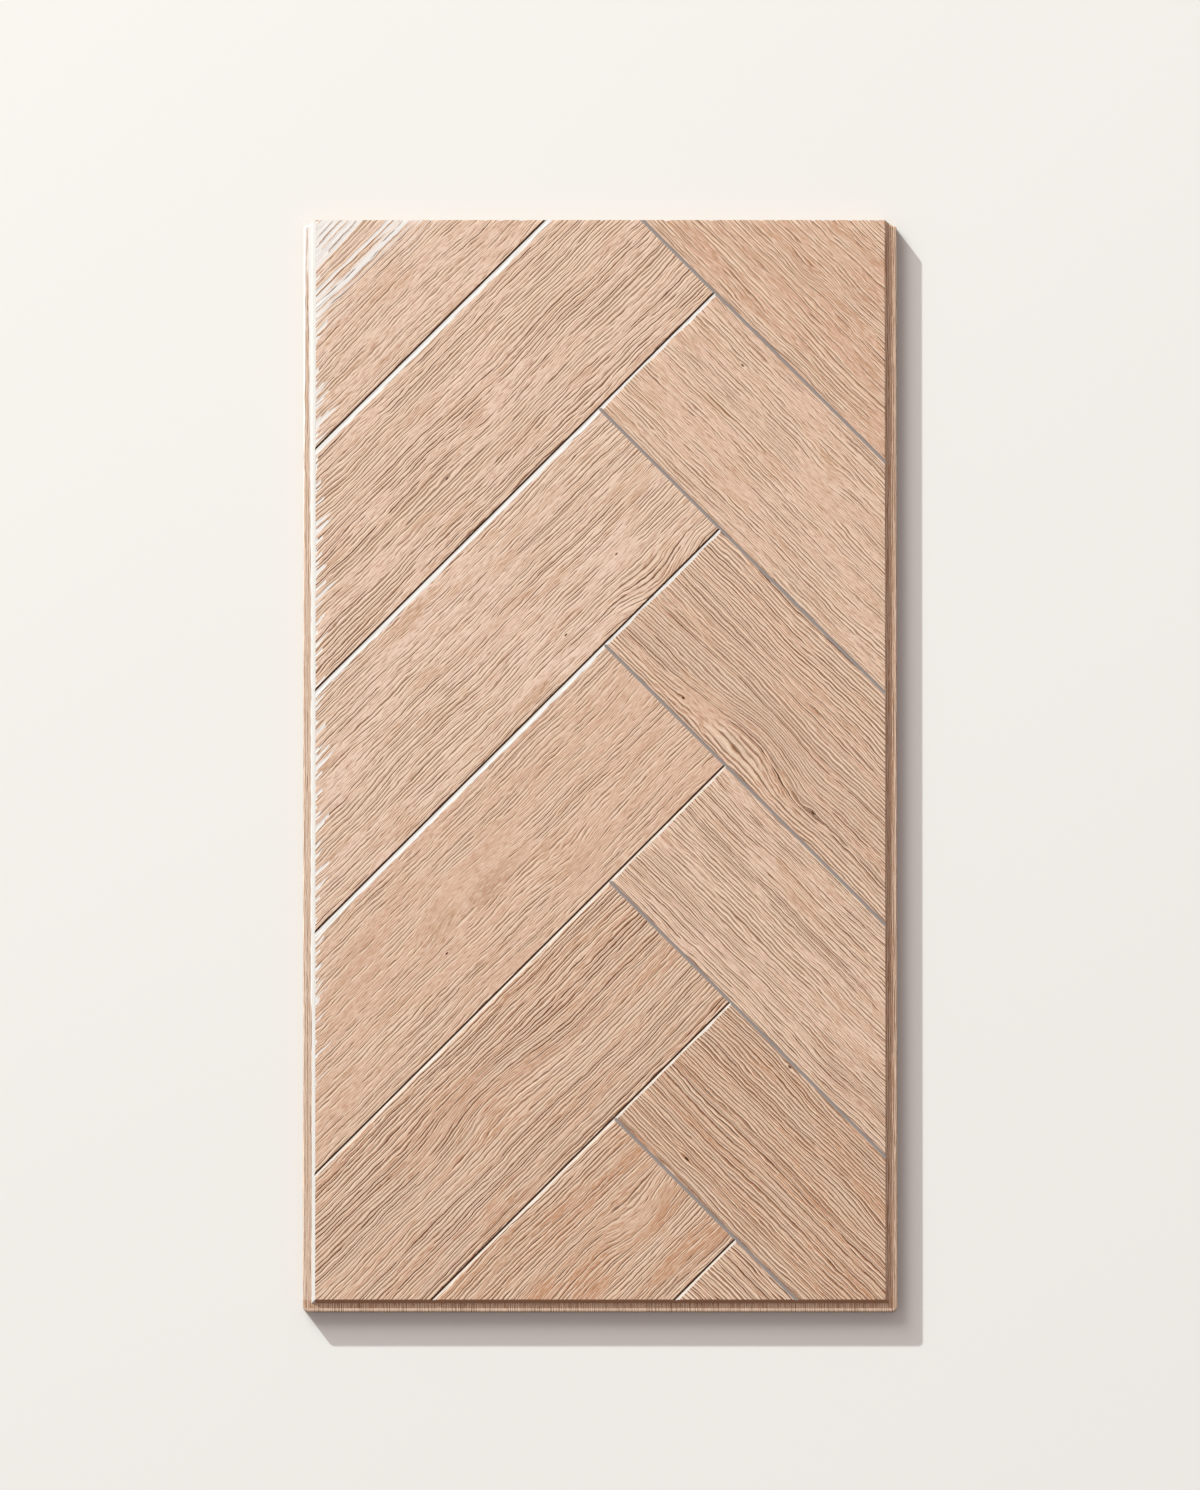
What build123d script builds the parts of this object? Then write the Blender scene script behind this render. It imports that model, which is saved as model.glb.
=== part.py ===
from build123d import *
import os
from math import ceil, hypot, sqrt

# A pressed porcelain tile, lying face up. X runs across it and Y along it. The origin is under
# the middle of its whole outline, at the level that its back rests on.

# Raised panel that carries the printed face
panel_width = 316.0
panel_length = 600.0
tile_thickness = 10.0
face_edge_radius = 0.4

# Stepped rim on both long sides and the near end: a bevel down to a flat ledge
step_drop = 2.0
bevel_run = 2.0
ledge_width = 4.6
ledge_edge_radius = 0.8

# Plan corners: the near ones are round. At the far end the ledges stop short of the panel's
# end, each behind a slanting shoulder.
near_corner_radius = 3.0
far_corner_radius = 1.6
shoulder_setback = 3.0
shoulder_width = 4.1

# Herringbone joints: V grooves at 45 degrees. Rising blocks point to the far right corner and
# falling blocks to the near right corner. One corner of the zigzag is placed from the panel's
# middle, and every joint follows from it.
rising_block_width = 95.0
falling_block_width = 91.0
zigzag_corner_x = 69.5
zigzag_corner_y = -3.5
joint_width = 2.2
joint_depth = 0.4

# Keyed back: a waffle of shallow drafted pockets, whose ribs carry the tile
pocket_size = 46.0
pocket_corner_radius = 5.0
pocket_depth = 0.8
pocket_draft = 30.0
rib_width = 5.0
back_margin = 14.0
back_edge_chamfer = 0.6

# Cutters pass this far through the surfaces that they open
overrun = 1.0

# Two heights or slopes closer than this are the same
flat_tolerance = 0.001

# Sizes that follow from the ones above
rim_run = bevel_run + ledge_width
outline_width = panel_width + 2 * rim_run
outline_length = panel_length + rim_run
ledge_level = tile_thickness - step_drop
panel_half_width = panel_width / 2
far_end = outline_length / 2
near_end = -far_end
panel_near_end = near_end + rim_run
panel_middle = (panel_near_end + far_end) / 2
ledge_far_end = far_end - shoulder_setback
side_reach = outline_width / 2 + overrun
end_reach = far_end + overrun
cutter_top = tile_thickness + overrun

with BuildPart() as porcelain_tile:
    # Whole outline, at full thickness
    with BuildSketch() as outline:
        with BuildLine():
            Polyline(
                (0, near_end),
                (outline_width / 2, near_end),
                (outline_width / 2, ledge_far_end),
                (panel_half_width + shoulder_width, ledge_far_end),
                (panel_half_width, far_end),
                (0, far_end),
            )
            mirror(about=Plane.YZ)
        make_face()
        near_corners = outline.vertices().group_by(Axis.Y)[0]
        fillet(near_corners, radius=near_corner_radius)
        ledge_ends = outline.vertices().group_by(Axis.Y)[-2].group_by(Axis.X)
        fillet(ledge_ends[0] + ledge_ends[-1], radius=far_corner_radius)
    extrude(amount=tile_thickness)

    # Rebates that leave the ledge and the bevel. The bevel's line is carried on above the face.
    bevel_carried_in = bevel_run / step_drop * (step_drop + overrun)
    with BuildSketch(Plane.XZ) as side_rebates:
        with BuildLine():
            Polyline(
                (panel_half_width + bevel_run - bevel_carried_in, cutter_top),
                (panel_half_width + bevel_run, ledge_level),
                (side_reach, ledge_level),
                (side_reach, cutter_top),
                close=True,
            )
        make_face()
        mirror(about=Plane.YZ)
    extrude(amount=end_reach, both=True, mode=Mode.SUBTRACT)
    with BuildSketch(Plane.YZ) as near_rebate:
        with BuildLine():
            Polyline(
                (panel_near_end - bevel_run + bevel_carried_in, cutter_top),
                (panel_near_end - bevel_run, ledge_level),
                (-end_reach, ledge_level),
                (-end_reach, cutter_top),
                close=True,
            )
        make_face()
    extrude(amount=side_reach, both=True, mode=Mode.SUBTRACT)

    # Softened edges: the glaze rounds the face and the ledge, and the back is chamfered
    walls = porcelain_tile.faces().filter_by(lambda face: abs(face.normal_at().Z) < flat_tolerance)
    ledge_edges = walls.edges().filter_by_position(Axis.Z, ledge_level, ledge_level)
    fillet(ledge_edges, radius=ledge_edge_radius)
    face_edges = porcelain_tile.faces().sort_by(Axis.Z)[-1].edges()
    fillet(face_edges.sort_by(Axis.Y)[:-1], radius=face_edge_radius)
    back_edges = porcelain_tile.faces().sort_by(Axis.Z)[0].edges()
    chamfer(back_edges, length=back_edge_chamfer)

    # Herringbone joints. Each starts at a corner of the zigzag and runs off the panel. A corner is
    # measured from the panel's middle, first across the rising blocks, then across the falling ones.
    diagonal = sqrt(0.5)
    zigzag_across = (zigzag_corner_x - zigzag_corner_y) * diagonal
    zigzag_along = (zigzag_corner_x + zigzag_corner_y) * diagonal
    joint_reach = hypot(outline_width, outline_length)
    joint_count = ceil(joint_reach / 2 / min(rising_block_width, falling_block_width))
    wedge_half_width = joint_width / 2 * (joint_depth + overrun) / joint_depth
    for step in range(-joint_count, joint_count + 1):
        across = zigzag_across + step * rising_block_width
        along = zigzag_along - step * falling_block_width
        rising_joint = (across, along, -diagonal)
        falling_joint = (across - rising_block_width, along, diagonal)
        for start_across, start_along, run_x in (rising_joint, falling_joint):
            start_x = (start_along + start_across) * diagonal
            start_y = panel_middle + (start_along - start_across) * diagonal
            joint_start = Plane(
                origin=(start_x, start_y, tile_thickness),
                x_dir=(diagonal, run_x, 0),
                z_dir=(run_x, -diagonal, 0),
            )
            with BuildSketch(joint_start):
                with BuildLine():
                    Polyline(
                        (0, -joint_depth),
                        (wedge_half_width, overrun),
                        (-wedge_half_width, overrun),
                        close=True,
                    )
                make_face()
            extrude(amount=joint_reach, mode=Mode.SUBTRACT)

    # Keyed back
    pocket_pitch = pocket_size + rib_width
    pocket_columns = int((outline_width - 2 * back_margin + rib_width) / pocket_pitch)
    pocket_rows = int((outline_length - 2 * back_margin + rib_width) / pocket_pitch)
    with BuildSketch() as back_pockets:
        with GridLocations(pocket_pitch, pocket_pitch, pocket_columns, pocket_rows):
            RectangleRounded(pocket_size, pocket_size, pocket_corner_radius)
    extrude(amount=pocket_depth, taper=pocket_draft, mode=Mode.SUBTRACT)

porcelain_tile.part.label = "porcelain_tile"
os.makedirs("parts", exist_ok=True)
export_step(porcelain_tile.part, "parts/porcelain_tile.step")
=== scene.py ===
import math
import bmesh
import bpy
import numpy as np
from mathutils import Matrix, Vector


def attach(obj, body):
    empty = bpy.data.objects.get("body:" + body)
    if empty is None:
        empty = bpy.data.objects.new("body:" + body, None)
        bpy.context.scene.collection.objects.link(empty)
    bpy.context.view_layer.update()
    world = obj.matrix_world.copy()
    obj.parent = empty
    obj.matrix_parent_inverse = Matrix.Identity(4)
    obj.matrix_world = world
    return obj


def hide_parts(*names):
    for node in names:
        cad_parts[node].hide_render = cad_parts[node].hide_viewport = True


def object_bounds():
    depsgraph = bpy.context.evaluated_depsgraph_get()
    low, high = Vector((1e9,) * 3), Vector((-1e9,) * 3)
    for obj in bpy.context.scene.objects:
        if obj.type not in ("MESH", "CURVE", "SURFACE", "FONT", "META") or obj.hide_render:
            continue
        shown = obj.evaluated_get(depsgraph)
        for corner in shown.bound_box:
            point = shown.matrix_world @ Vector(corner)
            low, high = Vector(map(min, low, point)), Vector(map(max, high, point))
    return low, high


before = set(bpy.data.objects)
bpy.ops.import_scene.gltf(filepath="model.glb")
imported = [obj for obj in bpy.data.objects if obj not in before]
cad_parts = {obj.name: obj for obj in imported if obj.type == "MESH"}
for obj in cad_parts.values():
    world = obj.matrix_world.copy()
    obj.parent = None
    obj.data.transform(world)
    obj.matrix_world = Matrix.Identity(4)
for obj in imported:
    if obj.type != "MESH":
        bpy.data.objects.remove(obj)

# A pressed porcelain tile with a printed and brushed oak herringbone face, lying face up.
# Lengths are in millimetres, and an object gets its metres last.

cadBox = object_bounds()
mm = 0.001
diagonal = math.sqrt(0.5)
farAway = 99.0

tile = {
    "panelWidth": 316.0,
    "panelLength": 600.0,
    "thickness": 10.0,
    "risingBlock": 95.0,      # width of the blocks that point to the far right
    "fallingBlock": 91.0,     # and of those that point to the near right
    "cornerX": 69.5,          # one corner of the zigzag, from the panel's middle
    "cornerY": -3.5,
    "jointHalf": 1.1,
    "jointDepth": 0.4,
}
meshing = {
    "rowSpacing": 0.5,        # rows of the mesh, along the grain
    "crossSpacing": 6.0,      # cuts across them
    "crossStart": 0.37,       # which puts them beside the corners of the joints
    "merge": 0.0005,
    "nearCut": 0.01,          # a face that reaches less far past a cut isn't cut
    "oneFace": 0.3,           # degrees, within which faces become one
    "crease": 19.0,           # degrees, from which an edge looks sharp
    "level": 0.9999,          # the upward part of a normal, above which a face is level
    "roundedEdge": 0.72,      # and below which it isn't the rounded edge of the face
    "square": 0.02,           # the sideways part, below which a face looks squarely one way
    "roundAbove": 9.5,        # heights: the rounded edge of the face lies above this one,
    "cutAbove": 8.6,          # what is cut into rows above this one,
    "printAbove": 7.0,        # and what carries the print above this one
}
panelMiddle = cadBox[1].y / mm - tile["panelLength"] / 2
acrossStart = (tile["cornerX"] - tile["cornerY"]) * diagonal
alongStart = (tile["cornerX"] + tile["cornerY"]) * diagonal
steps = range(-6, 7)


def say(*words):
    print("tile:", *words)


# sRGB hex to linear colour
def linear(code):
    parts = [int(code[i:i + 2], 16) / 255 for i in (1, 3, 5)]
    parts = [p / 12.92 if p <= 0.04045 else ((p + 0.055) / 1.055) ** 2.4 for p in parts]
    return (*parts, 1.0)


# Adds a node with its settings and links
def addNode(tree, kind, inputs=None, **settings):
    node = tree.nodes.new(kind)
    for name, value in settings.items():
        setattr(node, name, value)
    for key, value in (inputs or {}).items():
        if isinstance(value, bpy.types.NodeSocket):
            tree.links.new(value, node.inputs[key])
        else:
            node.inputs[key].default_value = value
    return node


# A number for each block, which its grain starts from
def blockSeed(kind, step):
    return 2.0 * step + (20 if kind == "rising" else 61)


# The block at a place: its kind, its step, and the place along and across its grain
def blockAt(x, y):
    across = (x - (y - panelMiddle)) * diagonal
    along = (x + (y - panelMiddle)) * diagonal
    for step in steps:
        acrossHere = acrossStart + step * tile["risingBlock"]
        alongHere = alongStart - step * tile["fallingBlock"]
        if acrossHere - tile["risingBlock"] < across <= acrossHere and along <= alongHere:
            return "rising", step, along, across
        if alongHere - tile["fallingBlock"] < along <= alongHere and across > acrossHere:
            return "falling", step, across, along
    return "rising", 0, along, across


def onPanel(x, y, margin=0.13):
    return abs(x) < tile["panelWidth"] / 2 + margin and y > panelMiddle - tile["panelLength"] / 2 - margin


# Cuts faces by planes at rising offsets along a normal, and gives all that they become
def cutFaces(mesh, faces, normal, offsets):
    done, left = [], [(min(v.co.dot(normal) for v in f.verts), max(v.co.dot(normal) for v in f.verts), f)
                      for f in faces]
    for offset in offsets:
        done += [row for row in left if row[1] < offset + meshing["nearCut"]]
        left = [row for row in left if row[1] >= offset + meshing["nearCut"]]
        hit = [row[2] for row in left if row[0] < offset - meshing["nearCut"]]
        if not hit:
            continue
        left = [row for row in left if row[0] >= offset - meshing["nearCut"]]
        geom = hit + list({e for f in hit for e in f.edges}) + list({v for f in hit for v in f.verts})
        cut = bmesh.ops.bisect_plane(mesh, geom=geom, dist=meshing["merge"],
                                     plane_co=normal * offset, plane_no=normal)
        left += [(min(v.co.dot(normal) for v in f.verts), max(v.co.dot(normal) for v in f.verts), f)
                 for f in cut["geom"] if isinstance(f, bmesh.types.BMFace)]
    return [row[2] for row in done + left]


# Whether a face looks along X or along Y, apart from its slope
def looksSquare(face):
    return min(abs(face.normal.x), abs(face.normal.y)) < meshing["square"]


# The tile's mesh: a merged copy of the CAD node, whose printed side is cut into rows that run
# along the grain of each block
def makeTileMesh():
    mesh = bmesh.new()
    mesh.from_mesh(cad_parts["porcelain_tile"].data)
    mesh.transform(Matrix.Scale(1 / mm, 4))
    zone = mesh.faces.layers.int.new("zone")      # 0 body, 1 rim, 2 rising, 3 falling
    step = mesh.faces.layers.int.new("step")
    bmesh.ops.remove_doubles(mesh, verts=mesh.verts, dist=meshing["merge"])
    bmesh.ops.dissolve_limit(mesh, angle_limit=math.radians(meshing["oneFace"]),
                             verts=mesh.verts, edges=mesh.edges)

    # The rounded edge of the face becomes one strip, so that the rows cross it once
    rounds = {f for f in mesh.faces if f.calc_center_median().z > meshing["roundAbove"]
              and meshing["roundedEdge"] < f.normal.z < meshing["level"] and looksSquare(f)}
    inner = [e for e in mesh.edges if all(f in rounds for f in e.link_faces)]
    bmesh.ops.dissolve_edges(mesh, edges=inner, use_verts=True)
    say("copied", len(mesh.faces), "faces of the solid")

    # Rim faces that the grain crosses are parted where the blocks part
    risingNormal = Vector((diagonal, -diagonal, 0))
    fallingNormal = Vector((diagonal, diagonal, 0))
    shift = panelMiddle * diagonal
    acrossLines = [acrossStart + s * tile["risingBlock"] - shift for s in steps]
    alongLines = [alongStart - s * tile["fallingBlock"] + shift for s in reversed(steps)]
    upper = [f for f in mesh.faces if f.normal.z > 0.3 and f.calc_center_median().z > meshing["cutAbove"]]
    rim = [f for f in upper if not onPanel(*f.calc_center_median().xy, 0.0)
           or looksSquare(f) and f.normal.z < meshing["level"]]
    rimSet = set(rim)
    tops = [f for f in upper if f not in rimSet]
    rim = cutFaces(mesh, rim, risingNormal, acrossLines)
    rim = cutFaces(mesh, rim, fallingNormal, alongLines)

    # Rows and cross cuts
    groups = {"rising": [], "falling": []}
    for face in tops + rim:
        groups[blockAt(*face.calc_center_median().xy)[0]].append(face)
    for kind, along, across, lines, width in (
            ("rising", fallingNormal, risingNormal, acrossLines, tile["risingBlock"]),
            ("falling", risingNormal, fallingNormal, alongLines, tile["fallingBlock"])):
        inside = width - 2 * tile["jointHalf"]
        rowCount = round(inside / meshing["rowSpacing"])
        rows = [line + tile["jointHalf"] + inside * i / rowCount
                for line in lines for i in range(1, rowCount)]
        reach = math.hypot(tile["panelWidth"], tile["panelLength"]) / 2 + 10
        crossCount = int(2 * reach / meshing["crossSpacing"])
        crosses = [meshing["crossStart"] - reach + meshing["crossSpacing"] * i for i in range(crossCount)]
        faces = cutFaces(mesh, groups[kind], across, rows)
        faces = cutFaces(mesh, faces, along, crosses)
        groups[kind] = faces
        say(kind, "blocks cut into", len(faces), "faces")

    # Where each face belongs
    for face in mesh.faces:
        centre = face.calc_center_median()
        face[zone] = 1 if centre.z > meshing["printAbove"] and face.normal.z > 0.1 else 0
    for kind, faces in groups.items():
        for face in faces:
            centre = face.calc_center_median()
            if onPanel(centre.x, centre.y):
                face[zone] = 2 if kind == "rising" else 3
            face[step] = blockAt(centre.x, centre.y)[1]
    for edge in mesh.edges:
        edge.smooth = edge.is_manifold and edge.calc_face_angle(0) < math.radians(meshing["crease"])
    for face in mesh.faces:
        face.smooth = True
    bmesh.ops.triangulate(mesh, faces=mesh.faces, quad_method="BEAUTY", ngon_method="BEAUTY")
    say("triangles", len(mesh.faces))
    return mesh


mesh = makeTileMesh()
mesh.transform(Matrix.Scale(mm, 4))
data = bpy.data.meshes.new("oakHerringboneTile")
mesh.to_mesh(data)
mesh.free()
for name in ("custom_normal", "UVMap"):
    if name in data.attributes:
        data.attributes.remove(data.attributes[name])


# How brown each block is and how densely it is brushed, from the far end to the near one
blocks = {
    "risingBrown": (0.02, 0.04, 0.0, 0.4, 0.6, 0.9, 0.85),
    "risingBrushed": (0.5, 0.75, 0.45, 0.3, 0.9, 0.6, 0.6),
    "fallingBrown": (0.57, 0.24, 0.43, 0.16, 0.97, 0.6, 0.6),
    "fallingBrushed": (0.4, 0.5, 1.3, 0.8, 1.5, 1.0, 1.0),
    "rimBrown": 0.4,
    "rimBrushed": 0.8,
    "rimSeed": 5.0,
    "plainFrom": 300.0,       # the joint that clips the far right corner, past here, has no grey
}

# Parts of the map for a baked picture, as shares of it: the printed side fills most of it
bakeMap = {
    "gap": 0.003,
    "faceWidth": 0.79,
    "wallsAt": 0.81,          # the four walls stand side by side
    "wallPitch": 0.046,
    "wallWidth": 0.003,       # for a millimetre of height
    "wallsFrom": 0.38,
    "wallLength": 0.61,
    "backWidth": 0.195,
    "backLength": 0.36,
}


# Places on the mesh that the relief and the print read: along and across the grain in
# millimetres, a seed, a tone and a density for each block, and where a point lies by a joint
def writePlaces(data):
    count = len(data.vertices)
    points = np.zeros(count * 3, np.float32)
    data.vertices.foreach_get("co", points)
    points = points.reshape(-1, 3) / mm
    corners = np.zeros(len(data.loops), np.int32)
    data.loops.foreach_get("vertex_index", corners)
    normals = np.repeat(np.array([p.normal[:] for p in data.polygons]), 3, axis=0)
    layer = {}
    for name in ("zone", "step"):
        values = np.zeros(len(data.polygons), np.int32)
        data.attributes[name].data.foreach_get("value", values)
        layer[name] = np.repeat(values, 3)
    zone, step = layer["zone"], layer["step"]
    rising, falling, block = zone == 2, zone == 3, zone > 1

    x, y, z = points[corners].T
    rise = (x + y - panelMiddle) * diagonal
    fall = (x - y + panelMiddle) * diagonal
    along = np.where(rising, rise, np.where(falling, fall, y))
    across = np.where(rising, fall, np.where(falling, rise, 2 * x))     # the rim's grain is finer
    seed = np.where(falling, blockSeed("falling", step), blocks["rimSeed"])
    seed = np.where(rising, blockSeed("rising", step), seed)
    inTurn = np.clip(step + 3, 0, 6)
    looks = []
    for name in ("Brown", "Brushed"):
        look = np.where(falling, np.array(blocks["falling" + name])[inTurn], blocks["rim" + name])
        looks.append(np.where(rising, np.array(blocks["rising" + name])[inTurn], look))
    tone, dense = looks
    toJoint = fall - acrossStart - step * tile["risingBlock"] + np.where(rising, tile["risingBlock"], 0)
    toJoint = np.where(block, toJoint, farAway)

    # Joint walls: 1 in a falling joint, and in a rising joint 2 on its upper left side and 3 opposite
    wallAcross = (normals[:, 0] - normals[:, 1]) * diagonal
    wallAlong = (normals[:, 0] + normals[:, 1]) * diagonal
    inWall = block & (np.minimum(abs(normals[:, 0]), abs(normals[:, 1])) > 0.1) & (normals[:, 2] > 0.5)
    inWall &= rise < blocks["plainFrom"]
    wall = np.where(abs(wallAlong) > abs(wallAcross), 1, np.where(wallAcross > 0, 2, 3)) * inWall

    # The map for a baked picture
    low, size = cadBox[0] / mm, (cadBox[1] - cadBox[0]) / mm
    gap = bakeMap["gap"]
    u = gap + bakeMap["faceWidth"] * (x - low.x) / size.x
    v = gap + (1 - 2 * gap) * (y - low.y) / size.y
    back = (zone == 0) & (normals[:, 2] < -0.5)
    edge = (zone == 0) & ~back
    side = np.where(np.abs(normals[:, 0]) > 0.7, normals[:, 0] > 0, 2 + (normals[:, 1] > 0))
    reach = np.where(side < 2, (y - low.y) / size.y, (x - low.x) / size.x)
    wallAt = bakeMap["wallsAt"] + bakeMap["wallPitch"] * side + bakeMap["wallWidth"] * z
    u = np.where(edge, wallAt, u)
    v = np.where(edge, bakeMap["wallsFrom"] + bakeMap["wallLength"] * reach, v)
    u = np.where(back, 1 - gap - bakeMap["backWidth"] * (x - low.x) / size.x, u)
    v = np.where(back, gap + bakeMap["backLength"] * (y - low.y) / size.y, v)
    for name, first, second in (("grain", along, across), ("block", seed, tone), ("joint", toJoint, wall),
                                ("brushing", dense, 0 * dense), ("OFBake", u, v)):
        uvMap = data.uv_layers.new(name=name)
        uvMap.data.foreach_set("uv", np.stack([first, second], 1).astype(np.float32).ravel())

    # For the relief: the same places by point, and how deep a point lies in a joint
    byCorner = np.stack([along, across, seed], 1)
    place = np.zeros((count, 3), np.float32)
    place[corners] = byCorner
    place[corners[block]] = byCorner[block]
    byJoint = np.zeros((count, 3), np.float32)
    byJoint[:, 0] = np.clip((tile["thickness"] - points[:, 2]) / tile["jointDepth"], 0, 1)
    byJoint[:, 1] = farAway
    byJoint[corners[block], 1] = toJoint[block] - tile["jointHalf"]
    byJoint[corners[block], 2] = dense[block]
    for name, values in (("grainPlace", place), ("jointPlace", byJoint)):
        attribute = data.attributes.new(name, "FLOAT_VECTOR", "POINT")
        attribute.data.foreach_set("vector", values.ravel())


writePlaces(data)
say("wrote the places that the grain follows")


# Lengths along the grain and across it, and a turn that parts one noise from another
grain = {
    "bends": {
        "bend": {"length": 62.0, "width": 30.0, "size": 6.0, "turn": 0.0},      # slow bends
        "jog": {"length": 9.0, "width": 4.0, "size": 1.6, "turn": 5.0},         # quick jogs
    },
    "patches": {
        "band": {"length": 70.0, "width": 11.0, "turn": 31.0},
        "stain": {"length": 38.0, "width": 6.0, "turn": 53.0},
        "fibre": {"length": 4.5, "width": 0.45, "turn": 67.0},                  # the finest fibres
    },
    "lines": {                # a line starts at one strength of its noise and is full at the next
        "line": {"length": 21.0, "spacing": 1.9, "start": 0.7, "full": 0.86, "turn": 11.0},
        "hair": {"length": 10.0, "spacing": 1.1, "start": 0.64, "full": 0.84, "turn": 23.0},
        "streak": {"length": 70.0, "spacing": 3.3, "start": 0.6, "full": 0.8, "turn": 41.0},
    },
    "seedScale": 3.7,         # how far a block's seed moves it in a noise
    "rowScale": 5.3,          # and a row's number
    "byBand": 0.5,            # how a band, the block's brushing and a calm place change the lines
    "byBrushing": 0.1,
    "byCalm": -0.3,
    "knotPush": -0.6,
    "ownBlock": 9.0,          # keeps a figure in its own block
    "inRow": (0.25, 0.75),    # where a line may lie in its row
}

# Where the growth lines bow, calm down, darken or ring a knot, in millimetres from the panel's middle
figures = (
    {"x": 36, "y": 98, "along": 36, "across": 24, "bow": -7.0},
    {"x": 41, "y": 104, "along": 16, "across": 9, "shade": 0.7},
    {"x": 13, "y": 116, "along": 26, "across": 9, "calm": 0.8},
    {"x": 9, "y": 114, "along": 9, "across": 4, "knot": 0.14},
    {"x": -19, "y": 69, "along": 9, "across": 4, "knot": 0.15},
    {"x": -85, "y": 156, "along": 8, "across": 4, "knot": 0.14},
    {"x": 79, "y": 219, "along": 9, "across": 4, "knot": 0.16},
    {"x": 123, "y": 160, "along": 26, "across": 13, "bow": 3.5, "calm": 0.5},
    {"x": 114, "y": 271, "along": 20, "across": 10, "bow": 1.5, "shade": 0.5},
    {"x": 147, "y": 254, "along": 30, "across": 16, "bow": 2.0, "shade": 0.4},
    {"x": 60, "y": 26, "along": 34, "across": 15, "bow": -4.0, "calm": 0.9},
    {"x": 90, "y": 8, "along": 42, "across": 22, "bow": -7.0},
    {"x": 46, "y": 34, "along": 7, "across": 4, "knot": 0.2},
    {"x": 118, "y": -30, "along": 14, "across": 5, "knot": 0.15},
    {"x": 22, "y": 36, "along": 24, "across": 11, "calm": 0.8},
    {"x": -72, "y": -70, "along": 60, "across": 22, "bow": 4.0, "calm": 0.7},
    {"x": -60, "y": -72, "along": 30, "across": 10, "shade": 0.5},
    {"x": -85, "y": -108, "along": 8, "across": 4, "knot": 0.16},
    {"x": -20, "y": -58, "along": 36, "across": 16, "bow": -3.0},
    {"x": 137, "y": -180, "along": 40, "across": 14, "shade": 0.6},
    {"x": 105, "y": -171, "along": 9, "across": 4, "knot": 0.18},
    {"x": 48, "y": -222, "along": 10, "across": 5, "knot": 0.2},
    {"x": 22, "y": -253, "along": 36, "across": 18, "bow": -6.0, "calm": 0.6},
    {"x": -60, "y": -190, "along": 60, "across": 22, "bow": 5.0},
)


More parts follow.
